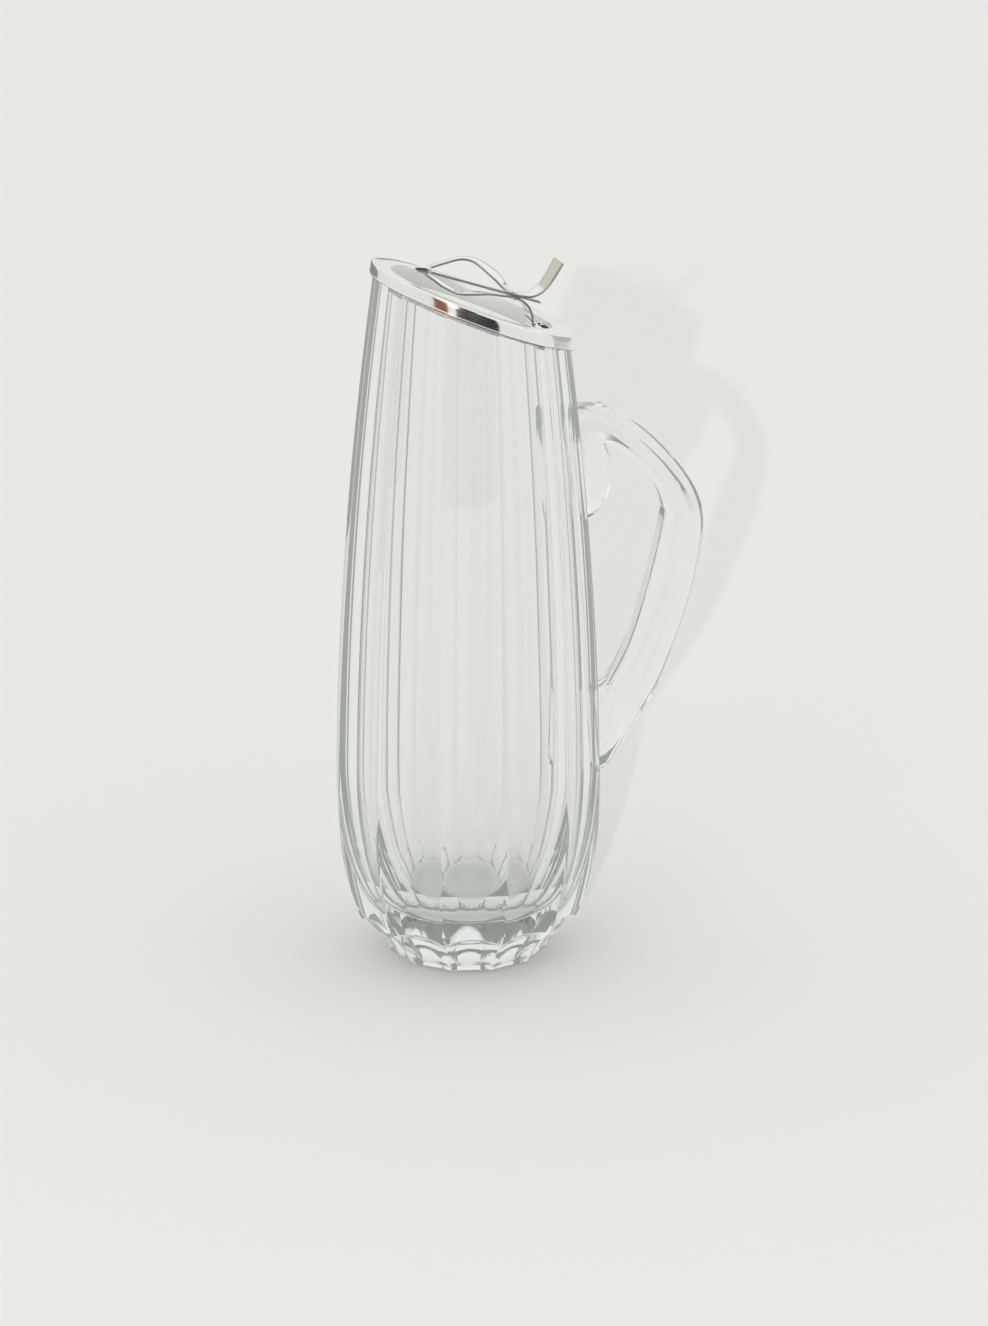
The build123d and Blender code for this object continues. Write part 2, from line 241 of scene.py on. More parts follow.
def shade_glass(piece):
    """Softened ridges between the flutes; crisp edges at the base and the handle."""
    mesh = piece.data
    for face in mesh.polygons:
        face.use_smooth = True
    normals = {}
    for face in mesh.polygons:
        for key in face.edge_keys:
            normals.setdefault(key, []).append(face.normal.copy())
    for edge in mesh.edges:
        pair = normals.get(tuple(sorted(edge.vertices)), [])
        if len(pair) != 2:
            continue
        point = mesh.vertices[edge.vertices[0]].co / MM
        height = min(max(point.z, 0), LIP_HEIGHT)
        on_body = math.hypot(point.x, point.y) < ridge_radius(height) + ON_BODY
        limit = SOFT if on_body and height > PRINT_HIGH + 1 else CRISP
        edge.use_edge_sharp = pair[0].angle(pair[1], 0) > math.radians(limit)


def spaced(low, high, steps):
    return [low + (high - low) * step / steps for step in range(steps + 1)]


def outside_rows():
    """Heights of the outer rows: close together at the foot and the thumbprints."""
    rows = []
    for step in range(1, FOOT_ROWS):
        rows.append(BELLY_HEIGHT * (1 - math.cos(math.radians(FOOT_TURN * step))))
    for low, high, steps in [(rows[-1], PRINT_LOW, 4)] + OUTSIDE_BANDS:
        rows += spaced(low, high, steps)[1:]
    return [0.0] + sorted(set(rows))


def cavity_rows():
    """Radius and height of the inner rows from the rim down to the floor."""
    blend_height = BASE_THICKNESS + CURVE_HEIGHT
    blend_radius = cavity_radius(blend_height)
    rows = [(None, height) for height in reversed(spaced(blend_height, LIP_HEIGHT, TAPER_ROWS))]
    for step in range(CURVE_ROWS - 1, -1, -1):
        turn = math.radians(90 / CURVE_ROWS * step)
        radius = FLOOR_RADIUS + (blend_radius - FLOOR_RADIUS) * math.sin(turn)
        rows.append((radius, blend_height - CURVE_HEIGHT * math.cos(turn)))
    return rows


def make_vessel_form(material):
    """Rings of vertices from the foot up the outside, over the rim and down to the cavity's floor."""
    verts = []
    faces = []
    rings = []
    columns = column_angles(HALF_PITCH / 2)
    count = len(columns)
    for share in FOOT_RINGS:
        rings.append(len(verts))
        verts += [polar(share * flute_radius(angle, 0), turn, 0) for turn, angle in columns]
    for row in outside_rows():
        rings.append(len(verts))
        for turn, angle in column_angles(crease_angle(row)):
            top = meet_rim(lambda height: flute_radius(angle, height), turn)[1]
            height = sheared(row, top)
            verts.append(polar(outer_radius(angle, height), turn, height))
    for radius, row in cavity_rows():
        rings.append(len(verts))
        for turn, _ in columns:
            height = sheared(row, meet_rim(cavity_radius, turn)[1])
            verts.append(polar(radius or cavity_radius(height), turn, height))
    for share in FLOOR_RINGS:
        rings.append(len(verts))
        verts += [polar(share * FLOOR_RADIUS, turn, BASE_THICKNESS) for turn, _ in columns]
    for first, second in zip(rings, rings[1:]):
        faces += bridge(first, second, count)
    for ring, height, order in ((rings[0], 0.0, 1), (rings[-1], BASE_THICKNESS, -1)):
        middle = len(verts)
        verts.append((0, 0, height * MM))
        for i in range(count):
            corner = (middle, ring + (i + 1) % count, ring + i)
            faces.append(corner[::order])
    return new_object("crystal_vessel", verts, faces, material)


# Side outline of the handle: distances out from the glass, heights and facets.
HANDLE_WIDTH = 15.0
MITRE_LIMIT = 0.5
HANDLE_OUTER = [
    (11.6, 222.3, 4.4),
    (24.2, 213.8, 4.4),
    (35.6, 201.8, 4.4),
    (44.6, 188.3, 4.4),
    (48.3, 177.6, 4.4),
    (48.8, 171.0, 4.4),
    (47.8, 162.6, 4.4),
    (42.3, 142.0, 4.4),
    (34.6, 122.0, 4.4),
    (26.6, 104.6, 4.4),
    (15.4, 88.6, 4.0),
    (3.7, 73.0, 2.4),
]
HANDLE_INNER = [
    (6.0, 107.0, 2.0),
    (16.1, 125.0, 3.6),
    (25.4, 151.5, 3.6),
    (32.2, 173.0, 3.6),
    (33.2, 178.4, 3.6),
    (31.6, 185.4, 3.6),
    (28.4, 190.4, 3.6),
    (14.2, 205.0, 2.4),
    (8.0, 208.0, 1.6),
]
SUNK_FOOT = [(-5.0, 69.0, 2.4), (-5.0, 106.0, 2.0)]
SUNK_TOP = [(-5.0, 208.0, 0.8), (-5.0, 223.3, 4.4)]


def eased(points, steps=5):
    """Points joined by a smooth curve through them."""
    fine = []
    for index in range(len(points) - 1):
        p0 = points[max(index - 1, 0)]
        p1 = points[index]
        p2 = points[index + 1]
        p3 = points[min(index + 2, len(points) - 1)]
        for step in range(steps):
            t = step / steps
            weights = (
                -0.5 * t**3 + t**2 - 0.5 * t,
                1.5 * t**3 - 2.5 * t**2 + 1,
                -1.5 * t**3 + 2 * t**2 + 0.5 * t,
                0.5 * t**3 - 0.5 * t**2,
            )
            values = zip(p0, p1, p2, p3)
            fine.append([sum(w * v for w, v in zip(weights, group)) for group in values])
    fine.append(list(points[-1]))
    return fine


def make_handle_form(material):
    """Faceted rod: the outline on four levels across the width, drawn in at both sides."""
    outline = eased(HANDLE_OUTER) + SUNK_FOOT + eased(HANDLE_INNER) + SUNK_TOP
    points = [Vector((ridge_radius(height) + out, height)) for out, height, _ in outline]
    facets = [facet for _, _, facet in outline]
    count = len(points)
    inset = []
    for i, point in enumerate(points):
        before = (point - points[i - 1]).normalized()
        after = (points[(i + 1) % count] - point).normalized()
        inward = Vector((before.y + after.y, -before.x - after.x)).normalized()
        cosine = max(inward.dot(Vector((after.y, -after.x))), MITRE_LIMIT)
        inset.append(point - inward * -facets[i] / cosine)
    verts = []
    half = HANDLE_WIDTH / 2
    for side, ring in ((-1, inset), (-1, points), (1, points), (1, inset)):
        for i in range(count):
            depth = half if ring is inset else half - facets[i]
            verts.append((ring[i].x * MM, side * depth * MM, ring[i].y * MM))
    faces = []
    for level in range(3):
        faces += bridge(level * count, (level + 1) * count, count)
    faces.append(tuple(range(count))[::-1])
    faces.append(tuple(range(3 * count, 4 * count)))
    return new_object("crystal_handle", verts, faces, material)


def fix_normals(piece):
    bpy.context.view_layer.objects.active = piece
    piece.select_set(True)
    bpy.ops.object.mode_set(mode="EDIT")
    bpy.ops.mesh.select_all(action="SELECT")
    bpy.ops.mesh.normals_make_consistent(inside=False)
    bpy.ops.object.mode_set(mode="OBJECT")
    piece.select_set(False)


# Pad of hot glass where the handle was pressed on below the mouth
PAD_HEIGHT = 199.5
PAD_HALF_HEIGHT = 23.5
PAD_HALF_WIDTH = 9.4
PAD_OUT = 13.0
PAD_SUNK = 3.0
PAD_INSET = 1.0
PAD_RINGS = 28
PAD_COUNT = 40
LEAN_REACH = 10


def make_pad_form(material):
    """Half-sunk oval pad: rings of a stretched ball."""
    verts = []
    faces = []
    centre = ridge_radius(PAD_HEIGHT) - PAD_INSET
    wall_fall = ridge_radius(PAD_HEIGHT - LEAN_REACH) - ridge_radius(PAD_HEIGHT + LEAN_REACH)
    lean = wall_fall / (2 * LEAN_REACH)
    for ring in range(1, PAD_RINGS):
        across = math.pi * ring / PAD_RINGS
        for step in range(PAD_COUNT):
            turn = 2 * math.pi * step / PAD_COUNT
            rise = PAD_HALF_HEIGHT * math.cos(across)
            swell = math.cos(turn) * (PAD_OUT + PAD_INSET if math.cos(turn) > 0 else PAD_SUNK)
            out = centre + swell * math.sin(across) - lean * rise
            side = PAD_HALF_WIDTH * math.sin(across) * math.sin(turn)
            verts.append((out * MM, side * MM, (PAD_HEIGHT + rise) * MM))
    for ring in range(PAD_RINGS - 2):
        faces += bridge(ring * PAD_COUNT, (ring + 1) * PAD_COUNT, PAD_COUNT)
    faces.append(tuple(range(PAD_COUNT)))
    faces.append(tuple(range((PAD_RINGS - 2) * PAD_COUNT, (PAD_RINGS - 1) * PAD_COUNT))[::-1])
    return new_object("crystal_pad", verts, faces, material)


def join_glass(vessel, *parts):
    """The handle is welded on hot, so all of it is one glass with no seam inside."""
    fix_normals(vessel)
    for part in parts:
        fix_normals(part)
        weld = vessel.modifiers.new("weld", "BOOLEAN")
        weld.operation = "UNION"
        weld.solver = "EXACT"
        weld.object = part
        welded = vessel.evaluated_get(bpy.context.evaluated_depsgraph_get())
        joined = bpy.data.meshes.new_from_object(welded)
        vessel.modifiers.clear()
        vessel.data = joined
        bpy.data.objects.remove(part)
    shade_glass(vessel)
    return vessel


def panel_radius(angle, height, grow):
    """Outside of the collar: twelve flat panels with rounded corners between them."""
    wave = (1 + math.cos(math.pi * angle / HALF_PITCH)) / 2
    return ridge_radius(height) + grow - PANEL_DEPTH * wave


def make_collar(material, inside, worn_and_shaded):
    """Silver collar: panelled band with a bead, flat top and plain inner skirt."""
    bottom = -BAND_HEIGHT
    bead = COLLAR_TOP + BEAD_OVERHANG
    edge = COLLAR_EDGE
    outer_profile = [
        (CEMENT_GAP, bottom),
        (bead - edge, bottom),
        (bead, bottom + edge),
        (bead, bottom + BEAD_HEIGHT - edge),
        (bead - edge, bottom + BEAD_HEIGHT),
        (COLLAR_TOP, bottom + BEAD_HEIGHT + 0.05),
        (COLLAR_TOP, -1.0),
        (COLLAR_TOP, COLLAR_TOP - 2 * edge),
        (COLLAR_TOP - 0.3 * edge, COLLAR_TOP - 0.8 * edge),
        (COLLAR_TOP - 0.8 * edge, COLLAR_TOP - 0.3 * edge),
        (COLLAR_TOP - 2 * edge, COLLAR_TOP),
    ]
    inner_profile = [
        (-COLLAR_TOP + 2 * edge, COLLAR_TOP),
        (-COLLAR_TOP + 0.8 * edge, COLLAR_TOP - 0.3 * edge),
        (-COLLAR_TOP + 0.3 * edge, COLLAR_TOP - 0.8 * edge),
        (-COLLAR_TOP, COLLAR_TOP - 2 * edge),
        (-COLLAR_TOP, -1.0),
        (-COLLAR_TOP, -SKIRT_HEIGHT + edge),
        (-COLLAR_TOP + 0.5 * edge, -SKIRT_HEIGHT),
        (-CEMENT_GAP, -SKIRT_HEIGHT),
        (-CEMENT_GAP, CEMENT_GAP),
    ]
    columns = column_angles(HALF_PITCH / 2)
    verts = []
    for grow, offset in outer_profile:
        for turn, angle in columns:
            radius_at = panel_radius if grow > CEMENT_GAP else flute_radius
            radius, height = meet_rim(lambda level: radius_at(angle, level, grow), turn, offset)
            verts.append(polar(radius, turn, height))
    for grow, offset in inner_profile:
        for turn, _ in columns:
            radius, height = meet_rim(lambda level: cavity_radius(level) + grow, turn, offset)
            verts.append(polar(radius, turn, height))
    for turn, angle in columns:
        radius, height = meet_rim(lambda level: flute_radius(angle, level, CEMENT_GAP), turn, CEMENT_GAP)
        verts.append(polar(radius, turn, height))
    faces = []
    rings = len(outer_profile) + len(inner_profile) + 1
    for ring in range(rings):
        faces += bridge(ring * len(columns), (ring + 1) % rings * len(columns), len(columns))
    piece = new_object("silver_collar", verts, faces, material)
    piece.data.materials.append(inside)
    piece.data.materials.append(worn_and_shaded)
    skirt = len(outer_profile) + 3
    for face in piece.data.polygons:
        ring = face.index // len(columns)
        # The band's underside, the bead's lower round and the face against the glass take the dark
        # silver: painted shade under the band, with tarnish
        if ring in (0, 1, rings - 1):
            face.material_index = 2
        elif ring >= skirt:
            face.material_index = 1
    fix_normals(piece)
    shade(piece, COLLAR_CRISP)
    return piece


# The guard's strips, measured from the hinge pin as in the part's source
BRACKET_THICKNESS = 0.8
PIN_STAND_OFF = 2.3
PIN_BELOW_RIM = 4.9
PLATE_FACE = cavity_radius(LIP_HEIGHT - 2 * RIM_FALL * LIP_RADIUS) - COLLAR_TOP - BRACKET_THICKNESS
PIN_X = PLATE_FACE - PIN_STAND_OFF
PIN_Z = RIM_HEIGHT + COLLAR_TOP - RIM_FALL * PIN_X - PIN_BELOW_RIM
TIP = (-47.4, 28.2)
JUNCTION = -10.9
STRIP_SLOPE = -0.349
STRIP_THICKNESS = 0.8
CENTRE_THICKNESS = 0.6
STRIP_GAP = 0.08
EDGE_ROUND = 0.22
# Margin of each broad side that takes the dark silver: tarnish, and painted shade along the strip's
# edges
WORN_AND_SHADED_EDGE = 0.25
STEPS_BETWEEN = 9
SECTION_POINTS = 20
BROAD_SIDES = (4, 14)


def stacked(x, side):
    """Height of a strip's middle where the strips lie on each other: above 1, below -1, centre 0."""
    step = CENTRE_THICKNESS / 2 + STRIP_GAP + STRIP_THICKNESS / 2
    return TIP[1] + STRIP_SLOPE * (x - TIP[0]) + side * step / math.cos(math.atan(STRIP_SLOPE))


# Stations: x, y, z, width, twist in degrees
LEVER_STATIONS = [
    (TIP[0], 0.0, stacked(TIP[0], 1), 2.0, 0),
    (-43.4, 4.2, 28.4, 2.6, 0),
    (-36.9, 9.0, 28.3, 2.9, 0),
    (-29.4, 11.0, 28.9, 3.0, 5),
    (-23.9, 10.0, 27.9, 3.2, 16),
    (-19.4, 7.0, 24.8, 3.7, 24),
    (-16.3, 3.4, 21.6, 4.6, 4),
    (-13.7, 1.0, stacked(-13.7, 1) + 0.7, 5.4, -6),
    (JUNCTION, 0.0, stacked(JUNCTION, 1), 6.0, 0),
    (-8.7, 0.0, stacked(-8.7, 1), 6.4, 0),
    (-4.1, 0.0, 15.1, 7.4, 0),
    (0.3, 0.0, 17.4, 8.6, 0),
    (4.1, 0.0, 22.2, 9.6, 0),
    (7.5, 0.0, 27.8, 10.4, 0),
]
STRAP_STATIONS = [
    (TIP[0], 0.0, stacked(TIP[0], -1), 2.0, 0),
    (-44.1, -4.8, 25.3, 2.8, 0),
    (-41.4, -8.5, 23.3, 3.2, 0),
    (-36.9, -11.0, 21.2, 4.2, 0),
    (-30.9, -10.8, 20.5, 5.0, 0),
    (-24.9, -8.2, 19.3, 5.2, 0),
    (-19.4, -4.8, 17.4, 5.2, 0),
    (-13.3, -0.6, stacked(-13.3, -1) - 0.1, 5.8, 0),
    (JUNCTION, 0.0, stacked(JUNCTION, -1), 6.4, 0),
    (-8.6, 0.0, stacked(-8.6, -1) - 0.1, 7.2, 0),
    (-6.1, 0.0, 11.2, 8.4, 0),
    (-4.8, 0.0, 7.6, 9.2, 0),
    (-4.6, 0.0, 4.4, 9.6, 0),
    (-3.3, 0.0, 1.6, 9.6, 0),
    (-1.2, 0.0, 0.5, 9.6, 0),
]


def ribbon_section(width, thick):
    """Flat section with rounded edges, as points across and through the strip."""
    points = []
    for across, through, start in ((1, 1, 0), (-1, 1, 90), (-1, -1, 180), (1, -1, 270)):
        corner = []
        for turn in (0, 30, 60, 90):
            angle = math.radians(start + turn)
            u = across * (width / 2 - EDGE_ROUND) + EDGE_ROUND * math.cos(angle)
            v = through * (thick / 2 - EDGE_ROUND) + EDGE_ROUND * math.sin(angle)
            corner.append((u, v))
        worn_and_shaded = (across * (width / 2 - EDGE_ROUND - WORN_AND_SHADED_EDGE), through * thick / 2)
        points += corner + [worn_and_shaded] if across == through else [worn_and_shaded] + corner
    return points


def make_ribbon(name, stations, thick, face_material, edge_material):
    """Strip swept along its stations, with dark silver on all but its broad sides: tarnish, and painted
    shade along its edges and ends.
    """
    stations = eased(stations, STEPS_BETWEEN)
    path = [Vector((PIN_X + x, y, PIN_Z + z)) for x, y, z, _, _ in stations]
    verts = []
    for index, (_, _, _, width, twist) in enumerate(stations):
        along = (path[min(index + 1, len(path) - 1)] - path[max(index - 1, 0)]).normalized()
        flat = Vector((-along.y, along.x, 0)).normalized()
        across = Matrix.Rotation(math.radians(twist), 3, along) @ flat
        through = along.cross(across)
        for u, v in ribbon_section(width, thick):
            verts.append((path[index] + across * u + through * v) * MM)
    faces = []
    count = SECTION_POINTS
    for ring in range(len(path) - 1):
        faces += bridge(ring * count, (ring + 1) * count, count)
    faces.append(tuple(range(count))[::-1])
    last = (len(path) - 1) * count
    faces.append(tuple(range(last, last + count)))
    piece = new_object(name, verts, faces, face_material)
    piece.data.materials.append(edge_material)
    for face in piece.data.polygons:
        side = face.index % count
        if side not in BROAD_SIDES or len(face.vertices) > 4:
            face.material_index = 1
    fix_normals(piece)
    shade(piece, SOFT)
    return piece


# Rivet through the three strips, with a low domed head at each end
RIVET_SEAT = CENTRE_THICKNESS / 2 + STRIP_THICKNESS + 3 * STRIP_GAP
RIVET_SHANK = 0.65
RIVET_HEAD = 1.3
RIVET_RISE = 0.6
RIVET_COUNT = 32
DOME_STEPS = 8


def make_junction_rivet(material):
    slope = math.atan(STRIP_SLOPE)
    centre = Vector((PIN_X + JUNCTION, 0, PIN_Z + stacked(JUNCTION, 0)))
    axis = Vector((-math.sin(slope), 0, math.cos(slope)))
    along = Vector((math.cos(slope), 0, math.sin(slope)))
    dome = []
    for step in range(1, DOME_STEPS + 1):
        turn = math.radians(90 * step / DOME_STEPS)
        dome.append((RIVET_HEAD * math.sin(turn), RIVET_SEAT + RIVET_RISE * math.cos(turn)))
    dome.append((RIVET_SHANK, RIVET_SEAT))
    profile = dome + [(radius, -level) for radius, level in reversed(dome)]
    verts = []
    count = RIVET_COUNT
    for radius, level in profile:
        for step in range(count):
            turn = 2 * math.pi * step / count
            across = along * math.cos(turn) + Vector((0, math.sin(turn), 0))
            verts.append((centre + axis * level + across * radius) * MM)
    faces = []
    for ring in range(len(profile) - 1):
        faces += bridge(ring * count, (ring + 1) * count, count)
    poles = ((0, RIVET_SEAT + RIVET_RISE), ((len(profile) - 1) * count, -RIVET_SEAT - RIVET_RISE))
    for ring, level in poles:
        pole = len(verts)
        verts.append((centre + axis * level) * MM)
        faces += [(pole, ring + step, ring + (step + 1) % count) for step in range(count)]
    piece = new_object("domed_rivet", verts, faces, material)
    fix_normals(piece)
    shade(piece, RIVET_CRISP)
    return piece


def noise(nodes, scale, detail, roughness=0.5):
    texture = nodes.new("ShaderNodeTexNoise")
    texture.inputs["Scale"].default_value = scale
    texture.inputs["Detail"].default_value = detail
    texture.inputs["Roughness"].default_value = roughness
    return texture


def ranged(nodes, links, source, low, high):
    span = nodes.new("ShaderNodeMapRange")
    span.inputs["To Min"].default_value = low
    span.inputs["To Max"].default_value = high
    links.new(source, span.inputs["Value"])
    return span.outputs["Result"]


def new_material(name, color, roughness):
    material = bpy.data.materials.new(name)
    material.use_nodes = True
    shader = material.node_tree.nodes["Principled BSDF"]
    shader.inputs["Base Color"].default_value = (*color, 1)
    shader.inputs["Roughness"].default_value = roughness
    return material, material.node_tree.nodes, material.node_tree.links, shader


def metal(name, color, roughness):
    material, nodes, links, shader = new_material(name, color, roughness)
    shader.inputs["Metallic"].default_value = 1.0
    return material, nodes, links, shader


def two_tone(nodes, links, source, target, first, second):
    """Colour that goes from the first to the second with the pattern."""
    ramp = nodes.new("ShaderNodeValToRGB")
    ramp.color_ramp.elements[0].color = (*first, 1)
    ramp.color_ramp.elements[1].color = (*second, 1)
    links.new(source, ramp.inputs["Fac"])
    links.new(ramp.outputs["Color"], target)


def object_coordinates(nodes, links, stretch=(1, 1, 1)):
    place = nodes.new("ShaderNodeTexCoord")
    mapping = nodes.new("ShaderNodeMapping")
    mapping.inputs["Scale"].default_value = stretch
    links.new(place.outputs["Object"], mapping.inputs["Vector"])
    return mapping.outputs["Vector"]


def bump(nodes, links, shader, height, distance, strength=1.0):
    relief = nodes.new("ShaderNodeBump")
    relief.inputs["Strength"].default_value = strength
    relief.inputs["Distance"].default_value = distance
    links.new(height, relief.inputs["Height"])
    links.new(relief.outputs["Normal"], shader.inputs["Normal"])


def past(nodes, links, depth, count):
    """One where a ray has already turned more than count times."""
    test = nodes.new("ShaderNodeMath")
    test.operation = "GREATER_THAN"
    test.inputs[1].default_value = count + 0.5
    links.new(depth, test.inputs[0])
    return test.outputs[0]


# Turns after which a ray counts as caught in the glass, and the painted grey glow that it then shows in
# place of the room's light
REFLECTIONS_LEFT = 3
TURNS_LEFT = 10
PAINTED_GREY_GLOW = (0.36, 0.375, 0.355, 1)


def crystal_material():
    """Polished lead crystal with the faint ripple that hand cutting leaves.
    Where a ray has turned many times, the glass glows with a painted grey in place of the room's light."""
    material, nodes, links, shader = new_material("cut crystal", (0.965, 0.972, 0.964), 0.0)
    shader.inputs["Transmission Weight"].default_value = 1.0
    shader.inputs["IOR"].default_value = 1.54
    place = object_coordinates(nodes, links, (1, 1, 0.12))
    ripple = noise(nodes, 55, 2)
    links.new(place, ripple.inputs["Vector"])
    bump(nodes, links, shader, ripple.outputs["Fac"], 0.00012)
    haze = noise(nodes, 300, 3)
    links.new(place, haze.inputs["Vector"])
    links.new(ranged(nodes, links, haze.outputs["Fac"], 0.0, 0.06), shader.inputs["Roughness"])
    path = nodes.new("ShaderNodeLightPath")
    caught = nodes.new("ShaderNodeMath")
    caught.operation = "MAXIMUM"
    links.new(past(nodes, links, path.outputs["Glossy Depth"], REFLECTIONS_LEFT), caught.inputs[0])
    links.new(past(nodes, links, path.outputs["Ray Depth"], TURNS_LEFT), caught.inputs[1])
    # Painted grey glow for a ray caught in the glass
    glow = nodes.new("ShaderNodeEmission")
    glow.inputs["Color"].default_value = PAINTED_GREY_GLOW
    choose = nodes.new("ShaderNodeMixShader")
    links.new(caught.outputs[0], choose.inputs["Fac"])
    links.new(shader.outputs["BSDF"], choose.inputs[1])
    links.new(glow.outputs[0], choose.inputs[2])
    links.new(choose.outputs[0], nodes["Material Output"].inputs["Surface"])
    depth = nodes.new("ShaderNodeVolumeAbsorption")
    depth.inputs["Color"].default_value = (0.64, 0.7, 0.65, 1)
    depth.inputs["Density"].default_value = 4.5
    links.new(depth.outputs["Volume"], nodes["Material Output"].inputs["Volume"])
    return material


def silver_material():
    """Polished silver with fine rubbing marks and a warm film in places."""
    material, nodes, links, shader = metal("polished silver", (0.9, 0.89, 0.86), 0.1)
    place = object_coordinates(nodes, links)
    film = noise(nodes, 90, 4)
    links.new(place, film.inputs["Vector"])
    base = shader.inputs["Base Color"]
    two_tone(nodes, links, film.outputs["Fac"], base, (0.86, 0.84, 0.78), (0.94, 0.935, 0.92))
    rub = noise(nodes, 900, 5, 0.6)
    links.new(object_coordinates(nodes, links, (0.2, 0.2, 1.5)), rub.inputs["Vector"])
    links.new(ranged(nodes, links, rub.outputs["Fac"], 0.06, 0.2), shader.inputs["Roughness"])
    bump(nodes, links, shader, rub.outputs["Fac"], 0.00002, 0.5)
    return material


def satin_material():
    """Inside of the collar: silver left satin from the file and the plaster."""
    material, nodes, links, shader = metal("satin silver", (0.93, 0.92, 0.89), 0.4)
    grain = noise(nodes, 1400, 4, 0.6)
    links.new(object_coordinates(nodes, links, (1, 1, 0.3)), grain.inputs["Vector"])
    links.new(ranged(nodes, links, grain.outputs["Fac"], 0.34, 0.55), shader.inputs["Roughness"])
    bump(nodes, links, shader, grain.outputs["Fac"], 0.00002)
    return material


def tarnish_and_shade_material():
    """Dark grey silver, darker in patches: tarnish, and painted shade under the collar, along the
    strips' edges and over the centre strip.
    """
    material, nodes, links, shader = metal("tarnish and painted shade silver", (0.3, 0.29, 0.26), 0.35)
    film = noise(nodes, 160, 5, 0.6)
    links.new(object_coordinates(nodes, links), film.inputs["Vector"])
    base = shader.inputs["Base Color"]
    two_tone(nodes, links, film.outputs["Fac"], base, (0.16, 0.15, 0.13), (0.42, 0.41, 0.38))
    links.new(ranged(nodes, links, film.outputs["Fac"], 0.25, 0.5), shader.inputs["Roughness"])
    bump(nodes, links, shader, film.outputs["Fac"], 0.00002)
    return material


def steel_material():
    """Hinge pin: fine turning marks."""
    material, nodes, links, shader = metal("turned steel", (0.6, 0.6, 0.6), 0.3)
    turning = noise(nodes, 1500, 3)
    links.new(object_coordinates(nodes, links, (1, 0.1, 1)), turning.inputs["Vector"])
    links.new(ranged(nodes, links, turning.outputs["Fac"], 0.2, 0.42), shader.inputs["Roughness"])
    bump(nodes, links, shader, turning.outputs["Fac"], 0.00002)
    return material


def plaster_material():
    """Bed of the collar: matte, with a fine grain."""
    material, nodes, links, shader = new_material("setting plaster", (0.88, 0.87, 0.84), 0.9)
    grain = noise(nodes, 1200, 6, 0.7)
    links.new(object_coordinates(nodes, links), grain.inputs["Vector"])
    base = shader.inputs["Base Color"]
    two_tone(nodes, links, grain.outputs["Fac"], base, (0.82, 0.81, 0.78), (0.93, 0.92, 0.9))
    bump(nodes, links, shader, grain.outputs["Fac"], 0.0001)
    return material


# Pale surroundings
PAPER = (0.83, 0.838, 0.808)
CEILING = (0.95, 0.95, 0.95)
EVEN_LIGHT = 0.88
FLOOR_HALF = 6.0
FLOOR_DROP = 0.0002
FLOOR_GLOW = 0.45


def any_of(nodes, links, path, names):
    """One where the ray is any of the named kinds."""
    found = path.outputs[names[0]]
    for name in names[1:]:
        larger = nodes.new("ShaderNodeMath")
        larger.operation = "MAXIMUM"
        links.new(found, larger.inputs[0])
        links.new(path.outputs[name], larger.inputs[1])
        found = larger.outputs[0]
    return found


def make_floor():
    """Pale sheet. Glass and metal see most of its own colour, and less of the shade on it."""
    half = FLOOR_HALF
    corners = [(-half, -half, 0), (half, -half, 0), (half, half, 0), (-half, half, 0)]
    material, nodes, links, shader = new_material("pale paper", PAPER, 0.9)
    grain = noise(nodes, 60, 5)
    links.new(object_coordinates(nodes, links), grain.inputs["Vector"])
    bump(nodes, links, shader, grain.outputs["Fac"], 0.0002)
    glow = nodes.new("ShaderNodeEmission")
    glow.inputs["Color"].default_value = (*PAPER, 1)
    path = nodes.new("ShaderNodeLightPath")
    through = any_of(nodes, links, path, ("Is Glossy Ray", "Is Transmission Ray"))
    choose = nodes.new("ShaderNodeMixShader")
    links.new(ranged(nodes, links, through, 0.0, FLOOR_GLOW), choose.inputs["Fac"])
    links.new(shader.outputs["BSDF"], choose.inputs[1])
    links.new(glow.outputs[0], choose.inputs[2])
    links.new(choose.outputs[0], nodes["Material Output"].inputs["Surface"])
    floor = new_object("floor", corners, [(0, 1, 2, 3)], material)
    floor.location.z = -FLOOR_DROP


def make_world():
    """Even light for the object, and the pale room where it is seen or reflected."""
    world = bpy.data.worlds.new("studio")
    bpy.context.scene.world = world
    world.use_nodes = True
    nodes = world.node_tree.nodes
    links = world.node_tree.links
    light = nodes["Background"]
    light.inputs["Color"].default_value = (1, 1, 1, 1)
    light.inputs["Strength"].default_value = EVEN_LIGHT
    seen = nodes.new("ShaderNodeBackground")
    place = nodes.new("ShaderNodeTexCoord")
    split = nodes.new("ShaderNodeSeparateXYZ")
    ramp = nodes.new("ShaderNodeValToRGB")
    ramp.color_ramp.elements[0].position = 0.08
    ramp.color_ramp.elements[0].color = (*PAPER, 1)
    ramp.color_ramp.elements[1].position = 0.5
    ramp.color_ramp.elements[1].color = (*CEILING, 1)
    links.new(place.outputs["Generated"], split.inputs[0])
    links.new(split.outputs["Z"], ramp.inputs["Fac"])
    room = nodes.new("ShaderNodeMix")
    room.data_type = "RGBA"
    room.inputs["B"].default_value = (*PAPER, 1)
    links.new(ramp.outputs["Color"], room.inputs["A"])
    path = nodes.new("ShaderNodeLightPath")
    links.new(path.outputs["Is Camera Ray"], room.inputs["Factor"])
    links.new(room.outputs["Result"], seen.inputs["Color"])
    choose = nodes.new("ShaderNodeMixShader")
    kinds = ("Is Camera Ray", "Is Glossy Ray", "Is Transmission Ray")
    links.new(any_of(nodes, links, path, kinds), choose.inputs["Fac"])
    links.new(light.outputs[0], choose.inputs[1])
    links.new(seen.outputs[0], choose.inputs[2])
    links.new(choose.outputs[0], nodes["World Output"].inputs["Surface"])


# Turn of the camera's side round the axis; the cards and the sun are placed from it
CAMERA_TURN = math.radians(-108.0)
SUN_WIDTH = math.radians(0.6)

